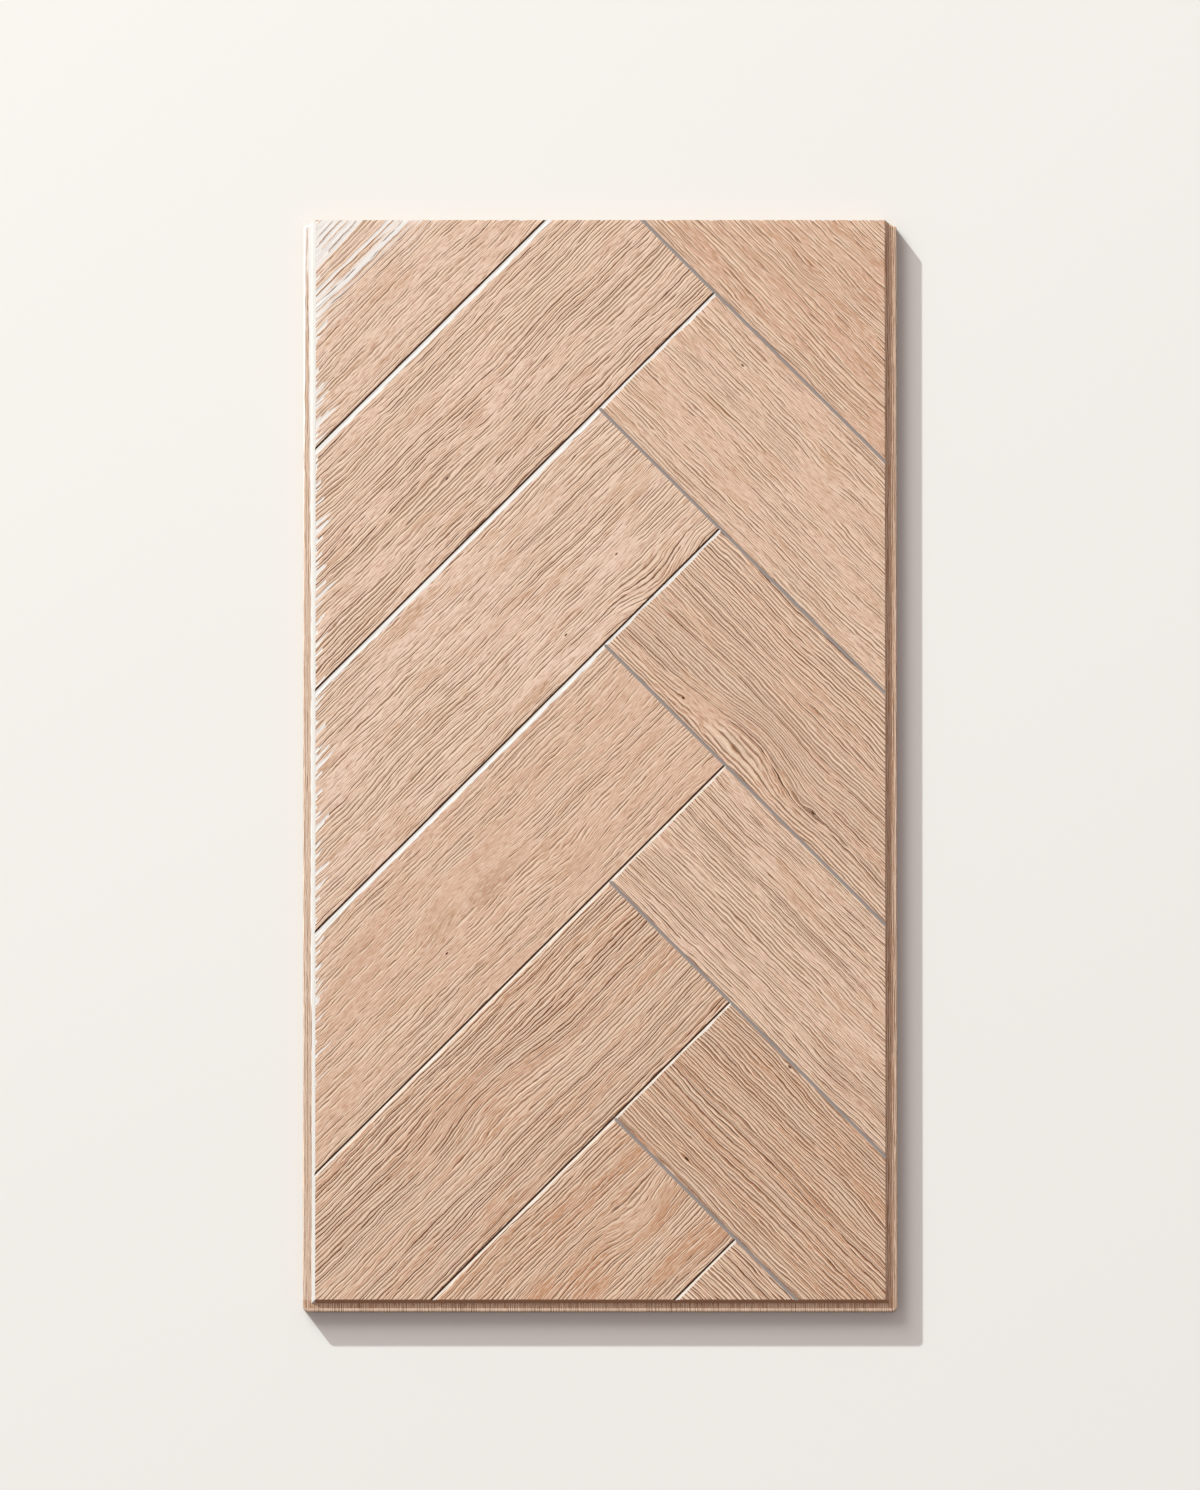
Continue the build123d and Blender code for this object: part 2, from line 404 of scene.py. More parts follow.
# The growth lines of brushed oak, for the relief and the print alike. Each set of lines gives how
# far a point lies aside from its line, how strong the line is there, and a number of its own.
def grainPattern(tree, along, across, seed, density):
    place = addNode(tree, "ShaderNodeCombineXYZ", {0: along, 1: across, 2: seed}).outputs[0]
    made = {}
    bent = across
    for bend in grain["bends"].values():
        scale = (1 / bend["length"], 1 / bend["width"], grain["seedScale"])
        at = addNode(tree, "ShaderNodeVectorMath", {
            0: place, 1: scale, 2: (0, 0, bend["turn"])}, operation="MULTIPLY_ADD").outputs[0]
        noise = addNode(tree, "ShaderNodeTexNoise", {"Vector": at, "Scale": 1.0, "Detail": 1.0}).outputs[0]
        bent = addNode(tree, "ShaderNodeMath", {
            0: noise, 1: bend["size"], 2: bent}, operation="MULTIPLY_ADD").outputs[0]
    marks = {"calm": 0.0, "shade": 0.0, "knot": 0.0}
    for figure in figures:
        kind, step, figureAlong, figureAcross = blockAt(figure["x"], figure["y"] + panelMiddle)
        away = addNode(tree, "ShaderNodeVectorMath", {
            0: place, 1: (figureAlong, figureAcross, blockSeed(kind, step))}, operation="SUBTRACT").outputs[0]
        scaled = addNode(tree, "ShaderNodeVectorMath", {
            0: away, 1: (1 / figure["along"], 1 / figure["across"], grain["ownBlock"])},
            operation="MULTIPLY").outputs[0]
        reach = addNode(tree, "ShaderNodeVectorMath", {0: scaled}, operation="LENGTH").outputs[1]
        near = addNode(tree, "ShaderNodeMapRange", {0: reach, 1: 1.0, 2: 0.0},
                       interpolation_type="SMOOTHSTEP").outputs[0]
        if "bow" in figure:
            bent = addNode(tree, "ShaderNodeMath", {0: near, 1: figure["bow"], 2: bent},
                           operation="MULTIPLY_ADD").outputs[0]
        for name in ("calm", "shade"):
            if name in figure:
                mark = addNode(tree, "ShaderNodeMath", {
                    0: near, 1: figure[name]}, operation="MULTIPLY").outputs[0]
                marks[name] = addNode(tree, "ShaderNodeMath", {
                    0: mark, 1: marks[name]}, operation="MAXIMUM").outputs[0]
        if "knot" in figure:
            aside = addNode(tree, "ShaderNodeSeparateXYZ", {0: away}).outputs[1]
            push = addNode(tree, "ShaderNodeMath", {0: aside, 1: near}, operation="MULTIPLY").outputs[0]
            bent = addNode(tree, "ShaderNodeMath", {
                0: push, 1: grain["knotPush"], 2: bent}, operation="MULTIPLY_ADD").outputs[0]
            dot = addNode(tree, "ShaderNodeMapRange", {
                0: reach, 1: figure["knot"], 2: figure["knot"] / 2}).outputs[0]
            marks["knot"] = addNode(tree, "ShaderNodeMath", {
                0: dot, 1: marks["knot"]}, operation="MAXIMUM").outputs[0]
    made.update(marks)

    smooth = addNode(tree, "ShaderNodeCombineXYZ", {0: along, 1: bent, 2: seed}).outputs[0]
    for name, patch in grain["patches"].items():
        scale = (1 / patch["length"], 1 / patch["width"], grain["seedScale"])
        at = addNode(tree, "ShaderNodeVectorMath", {
            0: smooth, 1: scale, 2: (0, 0, patch["turn"])}, operation="MULTIPLY_ADD").outputs[0]
        made[name] = addNode(tree, "ShaderNodeTexNoise", {
            "Vector": at, "Scale": 1.0, "Detail": 2.0}).outputs[0]
    for name, line in grain["lines"].items():
        cell = addNode(tree, "ShaderNodeMath", {0: bent, 1: line["spacing"]}, operation="DIVIDE").outputs[0]
        row = addNode(tree, "ShaderNodeMath", {0: cell}, operation="FLOOR").outputs[0]
        part = addNode(tree, "ShaderNodeMath", {0: cell}, operation="FRACT").outputs[0]
        key = addNode(tree, "ShaderNodeCombineXYZ", {0: line["turn"], 1: row, 2: seed}).outputs[0]
        own = addNode(tree, "ShaderNodeTexWhiteNoise", {"Vector": key}, noise_dimensions="3D").outputs[0]
        centre = addNode(tree, "ShaderNodeMapRange", {
            0: own, 3: grain["inRow"][0], 4: grain["inRow"][1]}).outputs[0]
        aside = addNode(tree, "ShaderNodeMath", {0: part, 1: centre}, operation="SUBTRACT").outputs[0]
        aside = addNode(tree, "ShaderNodeMath", {
            0: aside, 1: line["spacing"]}, operation="MULTIPLY").outputs[0]
        at = addNode(tree, "ShaderNodeCombineXYZ", {0: along, 1: row, 2: seed}).outputs[0]
        scale = (1 / line["length"], grain["rowScale"], grain["seedScale"])
        at = addNode(tree, "ShaderNodeVectorMath", {
            0: at, 1: scale, 2: (0, 0, line["turn"])}, operation="MULTIPLY_ADD").outputs[0]
        dense = addNode(tree, "ShaderNodeTexNoise", {"Vector": at, "Scale": 1.0, "Detail": 2.2}).outputs[0]
        for amount, weight in ((made["band"], grain["byBand"]), (density, grain["byBrushing"]),
                               (marks["calm"], grain["byCalm"])):
            dense = addNode(tree, "ShaderNodeMath", {
                0: amount, 1: weight, 2: dense}, operation="MULTIPLY_ADD").outputs[0]
        strength = addNode(tree, "ShaderNodeMapRange", {
            0: dense, 1: line["start"], 2: line["full"]}, interpolation_type="SMOOTHSTEP").outputs[0]
        made[name] = {"aside": aside, "strength": strength, "own": own}
    return made


brush = {
    "toothReach": 8.0,        # how far the longest teeth reach in from the left edge
    "toothLeast": 0.4,        # and in the near part of it
    "toothFade": (380.0, 500.0),
    "toothRarity": 7.0,
    "toothSoft": 0.2,
    "farEdge": 12.0,          # the far edge is bitten this many times less deep than the left one
    "streakReach": 14.0,      # how far the streaks behind the teeth reach in
    "streakWidth": 0.95,      # half of their width
    "streakTaper": 8.0,
    "streakFade": (400.0, 500.0),
    "streakRarity": 0.55,
    "topFade": (60.0, 90.0),  # the far edge has streaks up to here from the left
    "cornerReach": 90.0,      # the far left corner is brushed out to here
    "cornerStreak": 70.0,
    "cornerFull": 20.0,       # and its streaks are longest up to here
    "cornerBare": 56.0,
    "cornerSoft": 1.5,
    "arrisScale": (0.12, 0.3, 3.7),       # of the noise that wears the arris beside a joint
}


# How far the brush bit into the left edge and the far left corner, for both the relief and the print; the
# print paints these places near white, a painted highlight
def edgeWear(tree, position, pattern):
    place = addNode(tree, "ShaderNodeVectorMath", {
        0: position, 1: (1 / mm, 1 / mm, 1 / mm)}, operation="MULTIPLY").outputs[0]
    x, y, z = addNode(tree, "ShaderNodeSeparateXYZ", {0: place}).outputs
    fromLeft = addNode(tree, "ShaderNodeMath", {0: x, 1: tile["panelWidth"] / 2}, operation="ADD").outputs[0]
    fromFar = addNode(tree, "ShaderNodeMath", {0: cadBox[1].y / mm, 1: y}, operation="SUBTRACT").outputs[0]
    fromCorner = addNode(tree, "ShaderNodeMath", {0: fromLeft, 1: fromFar}, operation="ADD").outputs[0]

    # Ragged teeth: each row of the grain is pressed in to its own reach, less so towards the near end, and
    # painted near white there in the print
    start, full = brush["toothFade"]
    deep = addNode(tree, "ShaderNodeMapRange", {
        0: fromFar, 1: start, 2: full, 3: brush["toothReach"], 4: brush["toothLeast"]}).outputs[0]
    few = addNode(tree, "ShaderNodeMath", {
        0: pattern["hair"]["own"], 1: brush["toothRarity"]}, operation="POWER").outputs[0]
    reach = addNode(tree, "ShaderNodeMath", {0: few, 1: deep}, operation="MULTIPLY").outputs[0]
    scaled = addNode(tree, "ShaderNodeMath", {
        0: fromFar, 1: brush["farEdge"]}, operation="MULTIPLY").outputs[0]
    fromEdge = addNode(tree, "ShaderNodeMath", {0: fromLeft, 1: scaled}, operation="MINIMUM").outputs[0]
    past = addNode(tree, "ShaderNodeMath", {0: reach, 1: fromEdge}, operation="SUBTRACT").outputs[0]
    teeth = addNode(tree, "ShaderNodeMapRange", {
        0: past, 1: -brush["toothSoft"], 2: brush["toothSoft"]}).outputs[0]

    # Streaks that run in along the grain, and further in near the far left corner
    cornered = addNode(tree, "ShaderNodeMapRange", {
        0: fromCorner, 1: brush["cornerReach"], 2: brush["cornerFull"],
        3: brush["streakReach"], 4: brush["cornerStreak"]}).outputs[0]
    chosen = addNode(tree, "ShaderNodeMapRange", {
        0: pattern["streak"]["own"], 1: brush["streakRarity"], 2: 1.0}).outputs[0]
    reach = addNode(tree, "ShaderNodeMath", {0: cornered, 1: chosen}, operation="MULTIPLY").outputs[0]
    start, full = brush["topFade"]
    farther = addNode(tree, "ShaderNodeMapRange", {0: fromLeft, 1: start, 2: full, 4: full}).outputs[0]
    fromTop = addNode(tree, "ShaderNodeMath", {0: fromFar, 1: farther}, operation="ADD").outputs[0]
    fromEdge = addNode(tree, "ShaderNodeMath", {0: fromLeft, 1: fromTop}, operation="MINIMUM").outputs[0]
    left = addNode(tree, "ShaderNodeMath", {0: reach, 1: fromEdge}, operation="SUBTRACT").outputs[0]
    taper = addNode(tree, "ShaderNodeMapRange", {
        0: left, 2: brush["streakTaper"], 4: brush["streakWidth"]}).outputs[0]
    start, full = brush["streakFade"]
    weaker = addNode(tree, "ShaderNodeMapRange", {0: fromFar, 1: start, 2: full, 3: 1.0, 4: 0.0}).outputs[0]
    taper = addNode(tree, "ShaderNodeMath", {0: taper, 1: weaker}, operation="MULTIPLY").outputs[0]
    aside = addNode(tree, "ShaderNodeMath", {0: pattern["streak"]["aside"]}, operation="ABSOLUTE").outputs[0]
    past = addNode(tree, "ShaderNodeMath", {0: taper, 1: aside}, operation="SUBTRACT").outputs[0]
    streaks = addNode(tree, "ShaderNodeMapRange", {0: past, 1: -0.05, 2: 0.15}).outputs[0]
    inside = addNode(tree, "ShaderNodeMapRange", {0: left}).outputs[0]
    streaks = addNode(tree, "ShaderNodeMath", {0: streaks, 1: inside}, operation="MULTIPLY").outputs[0]

    # In the corner each row is painted near white to its own reach too, a painted highlight
    reach = addNode(tree, "ShaderNodeMapRange", {
        0: pattern["line"]["own"], 1: 0.3, 2: 0.9, 3: 0.0, 4: brush["cornerBare"]}).outputs[0]
    past = addNode(tree, "ShaderNodeMath", {0: reach, 1: fromCorner}, operation="SUBTRACT").outputs[0]
    corner = addNode(tree, "ShaderNodeMapRange", {
        0: past, 1: -brush["cornerSoft"], 2: brush["cornerSoft"]}).outputs[0]
    return {"x": x, "y": y, "z": z, "fromLeft": fromLeft, "fromFar": fromFar, "fromCorner": fromCorner,
            "teeth": teeth, "streaks": streaks, "corner": corner}


relief = {
    "Line depth": 0.028,      # of the brushed lines
    "Line half width": 0.85,
    "Line floor": 0.1,        # half the width of their flat floor
    "Shoulder wear": 0.25,    # how far the arris beside a joint is worn down
    "Shoulder least": 0.05,   # how wide that is worn at least,
    "Shoulder most": 1.6,     # and at most
    "Edge wear": 0.12,        # how far the left edge is worn down
    "Streak depth": 0.06,
    "Seed": 4,
}


# Geometry Nodes: the brushed relief, pressed down from the face
def makeRelief(piece, materials):
    tree = bpy.data.node_groups.new("brushedRelief", "GeometryNodeTree")
    tree.interface.new_socket("Geometry", in_out="INPUT", socket_type="NodeSocketGeometry")
    for name, value in relief.items():
        kind = "NodeSocketInt" if isinstance(value, int) else "NodeSocketFloat"
        tree.interface.new_socket(name, in_out="INPUT", socket_type=kind)
    tree.interface.new_socket("Geometry", in_out="OUTPUT", socket_type="NodeSocketGeometry")
    given = addNode(tree, "NodeGroupInput").outputs
    grainPlace = addNode(tree, "GeometryNodeInputNamedAttribute", {"Name": "grainPlace"},
                         data_type="FLOAT_VECTOR").outputs[0]
    jointPlace = addNode(tree, "GeometryNodeInputNamedAttribute", {"Name": "jointPlace"},
                         data_type="FLOAT_VECTOR").outputs[0]
    along, across, seed = addNode(tree, "ShaderNodeSeparateXYZ", {0: grainPlace}).outputs
    depth, beyond, density = addNode(tree, "ShaderNodeSeparateXYZ", {0: jointPlace}).outputs
    position = addNode(tree, "GeometryNodeInputPosition").outputs[0]
    pattern = grainPattern(tree, along, across, seed, density)
    wear = edgeWear(tree, position, pattern)

    # Brushed lines
    aside = addNode(tree, "ShaderNodeMath", {0: pattern["line"]["aside"]}, operation="ABSOLUTE").outputs[0]
    groove = addNode(tree, "ShaderNodeMapRange", {
        0: aside, 1: given["Line half width"], 2: given["Line floor"]},
        interpolation_type="SMOOTHSTEP").outputs[0]
    groove = addNode(tree, "ShaderNodeMath", {
        0: groove, 1: pattern["line"]["strength"]}, operation="MULTIPLY").outputs[0]

    # Worn arris on the lower right side of the rising joints
    at = addNode(tree, "ShaderNodeVectorMath", {
        0: grainPlace, 1: brush["arrisScale"]}, operation="MULTIPLY").outputs[0]
    noise = addNode(tree, "ShaderNodeTexNoise", {
        "Vector": at, "W": given["Seed"], "Scale": 1.0, "Detail": 2.0}, noise_dimensions="4D").outputs[0]
    width = addNode(tree, "ShaderNodeMapRange", {
        0: noise, 1: 0.4, 2: 0.7, 3: given["Shoulder least"], 4: given["Shoulder most"]}).outputs[0]
    arris = addNode(tree, "ShaderNodeMath", {0: width, 1: beyond}, operation="SUBTRACT").outputs[0]
    arris = addNode(tree, "ShaderNodeMapRange", {0: arris, 1: 0.0, 2: 1.2}).outputs[0]

    # The deepest of them counts, and they fade in the joints
    deepest = 0.0
    for mask, name in ((groove, "Line depth"), (arris, "Shoulder wear"), (wear["teeth"], "Edge wear"),
                       (wear["streaks"], "Streak depth")):
        pressed = addNode(tree, "ShaderNodeMath", {0: mask, 1: given[name]}, operation="MULTIPLY").outputs[0]
        deepest = addNode(tree, "ShaderNodeMath", {0: pressed, 1: deepest}, operation="MAXIMUM").outputs[0]
    shallow = addNode(tree, "ShaderNodeMapRange", {0: depth, 3: -mm, 4: 0.0}).outputs[0]
    down = addNode(tree, "ShaderNodeMath", {0: deepest, 1: shallow}, operation="MULTIPLY").outputs[0]
    offset = addNode(tree, "ShaderNodeCombineXYZ", {2: down}).outputs[0]
    moved = addNode(tree, "GeometryNodeSetPosition", {
        "Geometry": given["Geometry"], "Offset": offset}).outputs[0]

    realized = addNode(tree, "GeometryNodeRealizeInstances", {"Geometry": moved}).outputs[0]
    zone = addNode(tree, "GeometryNodeInputNamedAttribute", {"Name": "zone"}, data_type="INT").outputs[0]
    glazed = addNode(tree, "FunctionNodeCompare", {2: zone, 3: 0}, data_type="INT",
                     operation="GREATER_THAN").outputs[0]
    fired = addNode(tree, "GeometryNodeSetMaterial", {
        "Geometry": realized, "Material": materials["body"]}).outputs[0]
    printed = addNode(tree, "GeometryNodeSetMaterial", {
        "Geometry": fired, "Selection": glazed, "Material": materials["print"]}).outputs[0]
    addNode(tree, "NodeGroupOutput", {"Geometry": printed})

    modifier = piece.modifiers.new("brushedRelief", "NODES")
    modifier.node_group = tree
    for item in tree.interface.items_tree:
        if item.item_type == "SOCKET" and item.in_out == "INPUT" and item.name in relief:
            modifier[item.identifier] = relief[item.name]
    bpy.context.view_layer.update()
    graph = bpy.context.evaluated_depsgraph_get()
    ready = bpy.data.meshes.new_from_object(piece.evaluated_get(graph), preserve_all_data_layers=True,
                                            depsgraph=graph)
    piece.modifiers.remove(modifier)
    piece.data = ready


glaze = {
    "colours": {
        "pale": "#F4D2BC",    # oak, from the palest block to the brownest
        "tan": "#CB936E",
        "patch": "#EFCFB5",
        "stain": "#C39470",
        "shade": "#B5876A",
        "fibre": "#B28462",
        "fibreLight": "#F4DAC3",
        "hair": "#8A4E26",
        "hairHighlight": "#FFDFC3",
        "lineHighlight": "#FFE1C6",
        "line": "#63330F",
        "knot": "#5A3622",
        "fallingJoint": "#A1938C",
        # painted shade on the wall of a rising joint that faces away from the key light
        "jointShade": "#5E412E",
        "bareAndHighlight": "#F7F0EA",    # near white where the relief is worn at the left edge and far left corner, and beside the rising joints: a painted highlight
        # painted highlight on the left bevel, which faces the key light
        "highlightBevel": "#D1CBC5",
        "highlightWallFar": "#D3CCC6",     # a painted highlight on the lit wall of a rising joint, at the far left and elsewhere
        "highlightWallNear": "#E2D2C4",
        "ledge": "#DABFAC",
        "paintedShadeSides": "#AC8062",     # painted shade on the right and near sides, which face away from the key light, but for their outer edge
        # painted light on the outer edge of the right and near sides
        "paintedLitEdge": "#E6C7B0",
        # painted shade on the near bevel
        "paintedShadeNearBevel": "#A87E62",
    },
    # Soft patches: the noise that they follow, where in it they start and are full, their strength
    "patches": {
        "patch": ("band", 0.42, 0.66, 0.8),
        "stain": ("stain", 0.5, 0.72, 0.6),
        "fibre": ("fibre", 0.5, 0.3, 0.75),
        "fibreLight": ("fibre", 0.52, 0.72, 0.75),
    },
    # Printed lines: the lines that they follow, how far aside, half of their width, their soft
    # edge, their strength. A pale one beside a dark one is print and a painted highlight of its lit side
    "strokes": {
        "hairHighlight": ("hair", 0.38, 0.36, 0.12, 0.95),
        "hair": ("hair", 0.0, 0.22, 0.12, 0.85),
        "lineHighlight": ("line", 0.6, 0.56, 0.12, 1.0),
        "line": ("line", 0.0, 0.34, 0.1, 1.0),
    },
    "widths": (0.85, 1.15),   # shares of it, from the least brushed block to the most
    "strengths": (0.75, 1.0),
    "faintest": 0.5,
    "joints": {
        "grey": (9.97, 9.91),     # heights between which the grey of a falling joint sets in
        "farCorner": (480.0, 440.0),      # the far part is this close to the far left corner
        "farWidening": (5.0, -5.0),       # where in X the pale wall widens there,
        "farReach": (1.5, 2.5),           # and from what to what
        "nearReach": 1.2,
        "ragged": 0.5,
        "raggedScale": (70.0, 70.0, 0.0),
    },
    "band": {                 # the band of print on the left ledge
        "middle": 4.7,        # from the panel's left edge
        "half": (0.0, 220.0, -0.8, 0.9),      # half of its width at two places from the far end,
        "more": (430.0, 520.0, 0.0, 5.0),     # and what is added to it further on
        "ragged": 1.8,
        "raggedScale": (500.0, 90.0, 0.0),
        "soft": (0.2, 0.7),
    },
    "rim": {
        "onRight": (-0.1, 0.1),       # where the painted shade sets in, from the panel's right and near sides
        "onNear": (-0.1, 0.1),
        "edgeRight": (4.8, 5.1),      # and the painted light on its outer edge
        "edgeNear": (4.5, 4.8),
        "ledge": (8.3, 8.1),          # heights
        "bevel": (8.05, 8.25),
    },
    "roughness": (0.8, 0.68),         # in the lines and on the ridges
    "shine": 0.12,
    "ior": 1.5,
    "bump": 0.025,
    "layers": (
        "patch", "stain", "ledge", "paintedShadeSides", "paintedLitEdge", "shade", "fibreLight", "fibre", "hairHighlight", "hair",
        "lineHighlight", "corner", "line", "knot", "paintedShadeNearBevel", "bareAndHighlight", "highlightRim", "highlightBevel", "highlightWall",
        "fallingJoint", "jointShade",
    ),
}


# Matt-glazed porcelain, printed by ink jet with brushed oak: warm wood with no gloss, a little
# smoother on the brushed ridges than in the lines
def makePrintMaterial():
    material = bpy.data.materials.new("mattGlazedPorcelainOakPrint")
    material.use_nodes = True
    tree = material.node_tree
    tree.nodes.clear()
    read = {}
    for name in ("grain", "block", "joint", "brushing"):
        uvMap = addNode(tree, "ShaderNodeUVMap", uv_map=name).outputs[0]
        read[name] = addNode(tree, "ShaderNodeSeparateXYZ", {0: uvMap}).outputs
    along, across = read["grain"][:2]
    seed, tone = read["block"][:2]
    beyond, wall = read["joint"][:2]
    density = read["brushing"][0]
    pattern = grainPattern(tree, along, across, seed, density)
    position = addNode(tree, "ShaderNodeTexCoord").outputs["Object"]
    wear = edgeWear(tree, position, pattern)
    colours = {name: linear(code) for name, code in glaze["colours"].items()}
    joints, band, rim = glaze["joints"], glaze["band"], glaze["rim"]
    masks = {}

    # Patches, then lines: a pale one runs beside each dark one, a painted highlight as well as print
    for name, (of, first, last, weight) in glaze["patches"].items():
        masks[name] = addNode(tree, "ShaderNodeMapRange", {
            0: pattern[of], 1: first, 2: last, 4: weight}).outputs[0]
    thin, thick = glaze["widths"]
    faint, strong = glaze["strengths"]
    for name, (of, shift, width, soft, weight) in glaze["strokes"].items():
        aside = addNode(tree, "ShaderNodeMath", {
            0: pattern[of]["aside"], 1: shift}, operation="SUBTRACT").outputs[0]
        aside = addNode(tree, "ShaderNodeMath", {0: aside}, operation="ABSOLUTE").outputs[0]
        wider = addNode(tree, "ShaderNodeMapRange", {
            0: density, 3: thin * width, 4: thick * width}).outputs[0]
        half = addNode(tree, "ShaderNodeMath", {
            0: pattern[of]["strength"], 1: wider}, operation="MULTIPLY").outputs[0]
        past = addNode(tree, "ShaderNodeMath", {0: half, 1: aside}, operation="SUBTRACT").outputs[0]
        most = addNode(tree, "ShaderNodeMapRange", {
            0: density, 3: faint * weight, 4: strong * weight}).outputs[0]
        own = addNode(tree, "ShaderNodeMapRange", {
            0: pattern[of]["own"], 3: glaze["faintest"], 4: most}).outputs[0]
        masks[name] = addNode(tree, "ShaderNodeMapRange", {0: past, 1: 0.0, 2: soft, 4: own}).outputs[0]
    for name in ("shade", "knot"):
        masks[name] = pattern[name]
    # The far left corner is painted near white: a painted highlight
    masks["corner"] = wear["corner"]

    # Joints: a painted highlight on the wall that faces the far left and on a ragged band beside it, and
    # painted shade on the wall opposite
    for name, code in (("fallingJoint", 1), ("jointShade", 2), ("highlightWall", 3)):
        masks[name] = addNode(tree, "ShaderNodeMath", {
            0: wall, 1: code, 2: 0.4}, operation="COMPARE").outputs[0]
    start, full = joints["grey"]
    deep = addNode(tree, "ShaderNodeMapRange", {0: wear["z"], 1: start, 2: full}).outputs[0]
    masks["fallingJoint"] = addNode(tree, "ShaderNodeMath", {
        0: masks["fallingJoint"], 1: deep}, operation="MULTIPLY").outputs[0]
    at = addNode(tree, "ShaderNodeVectorMath", {
        0: position, 1: joints["raggedScale"]}, operation="MULTIPLY").outputs[0]
    noise = addNode(tree, "ShaderNodeTexNoise", {"Vector": at, "Scale": 1.0, "Detail": 3.0}).outputs[0]
    start, full = joints["farCorner"]
    farness = addNode(tree, "ShaderNodeMapRange", {0: wear["fromCorner"], 1: start, 2: full}).outputs[0]
    start, full = joints["farWidening"]
    least, most = joints["farReach"]
    reach = addNode(tree, "ShaderNodeMapRange", {
        0: wear["x"], 1: start, 2: full, 3: least, 4: most}).outputs[0]
    reach = addNode(tree, "ShaderNodeMix", {0: farness, 2: joints["nearReach"], 3: reach}).outputs[0]
    ragged = addNode(tree, "ShaderNodeMapRange", {
        0: noise, 1: 0.3, 2: 0.7, 3: -joints["ragged"], 4: joints["ragged"]}).outputs[0]
    reach = addNode(tree, "ShaderNodeMath", {0: ragged, 1: reach}, operation="ADD").outputs[0]
    past = addNode(tree, "ShaderNodeMath", {0: reach, 1: beyond}, operation="SUBTRACT").outputs[0]
    jointHighlight = addNode(tree, "ShaderNodeMapRange", {0: past, 1: -0.1, 2: 0.2}).outputs[0]
    highlightWallColour = addNode(tree, "ShaderNodeMix", {
        0: farness, 6: colours["highlightWallNear"], 7: colours["highlightWallFar"]}, data_type="RGBA").outputs[2]

    # Sides of the tile: the ledges, painted shade on the right and near sides and the near bevel, and painted
    # light on their outer edge
    start, full = rim["ledge"]
    masks["ledge"] = addNode(tree, "ShaderNodeMapRange", {0: wear["z"], 1: start, 2: full}).outputs[0]
    panelRight = tile["panelWidth"] / 2
    panelNear = cadBox[1].y / mm - tile["panelLength"]
    for name, onRight, onNear in (("paintedLitEdge", "edgeRight", "edgeNear"), ("paintedShadeSides", "onRight", "onNear")):
        start, full = rim[onRight]
        right = addNode(tree, "ShaderNodeMapRange", {
            0: wear["x"], 1: panelRight + start, 2: panelRight + full}).outputs[0]
        start, full = rim[onNear]
        near = addNode(tree, "ShaderNodeMapRange", {
            0: wear["y"], 1: panelNear - start, 2: panelNear - full}).outputs[0]
        masks[name] = addNode(tree, "ShaderNodeMath", {0: right, 1: near}, operation="MAXIMUM").outputs[0]
    masks["paintedShadeNearBevel"] = addNode(tree, "ShaderNodeMath", {
        0: near, 1: masks["ledge"]}, operation="SUBTRACT", use_clamp=True).outputs[0]

    # The left ledge keeps a band of print, which widens from the far end to the near one; the rest of the
    # left ledge and the left bevel are painted near white, a painted highlight
    at = addNode(tree, "ShaderNodeVectorMath", {
        0: position, 1: band["raggedScale"]}, operation="MULTIPLY").outputs[0]
    noise = addNode(tree, "ShaderNodeTexNoise", {"Vector": at, "Scale": 1.0, "Detail": 3.0}).outputs[0]
    half = 0.0
    for name in ("half", "more"):
        start, full, least, most = band[name]
        more = addNode(tree, "ShaderNodeMapRange", {
            0: wear["fromFar"], 1: start, 2: full, 3: least, 4: most}).outputs[0]
        half = addNode(tree, "ShaderNodeMath", {0: more, 1: half}, operation="ADD").outputs[0]
    half = addNode(tree, "ShaderNodeMath", {
        0: noise, 1: band["ragged"], 2: half}, operation="MULTIPLY_ADD").outputs[0]
    offBand = addNode(tree, "ShaderNodeMath", {
        0: wear["fromLeft"], 1: band["middle"]}, operation="ADD").outputs[0]
    offBand = addNode(tree, "ShaderNodeMath", {0: offBand}, operation="ABSOLUTE").outputs[0]
    past = addNode(tree, "ShaderNodeMath", {0: offBand, 1: half}, operation="SUBTRACT").outputs[0]
    start, full = band["soft"]
    highlightRim = addNode(tree, "ShaderNodeMapRange", {0: past, 1: start, 2: full}).outputs[0]
    start, full = rim["bevel"]
    onBevel = addNode(tree, "ShaderNodeMapRange", {0: wear["z"], 1: start, 2: full}).outputs[0]
    onRim = addNode(tree, "ShaderNodeMath", {0: wear["fromLeft"], 1: 0.15}, operation="LESS_THAN").outputs[0]
    onFace = addNode(tree, "ShaderNodeMath", {0: 1.0, 1: onRim}, operation="SUBTRACT").outputs[0]
    # The band beside the rising joints, the streaks and the teeth are painted near white: a painted
    # highlight, on relief that is worn at the teeth and streaks
    bareAndHighlight = jointHighlight
    for mask in (wear["streaks"], wear["teeth"]):
        bareAndHighlight = addNode(tree, "ShaderNodeMath", {0: bareAndHighlight, 1: mask}, operation="MAXIMUM").outputs[0]
    for name, where, mask in (("highlightRim", onRim, highlightRim), ("highlightBevel", onRim, onBevel),
                              ("bareAndHighlight", onFace, bareAndHighlight)):
        masks[name] = addNode(tree, "ShaderNodeMath", {0: where, 1: mask}, operation="MULTIPLY").outputs[0]

    colours["corner"] = colours["highlightRim"] = colours["bareAndHighlight"]
    colours["highlightWall"] = highlightWallColour
    colour = addNode(tree, "ShaderNodeMix", {
        0: tone, 6: colours["pale"], 7: colours["tan"]}, data_type="RGBA").outputs[2]
    for name in glaze["layers"]:
        colour = addNode(tree, "ShaderNodeMix", {
            0: masks[name], 6: colour, 7: colours[name]}, data_type="RGBA").outputs[2]

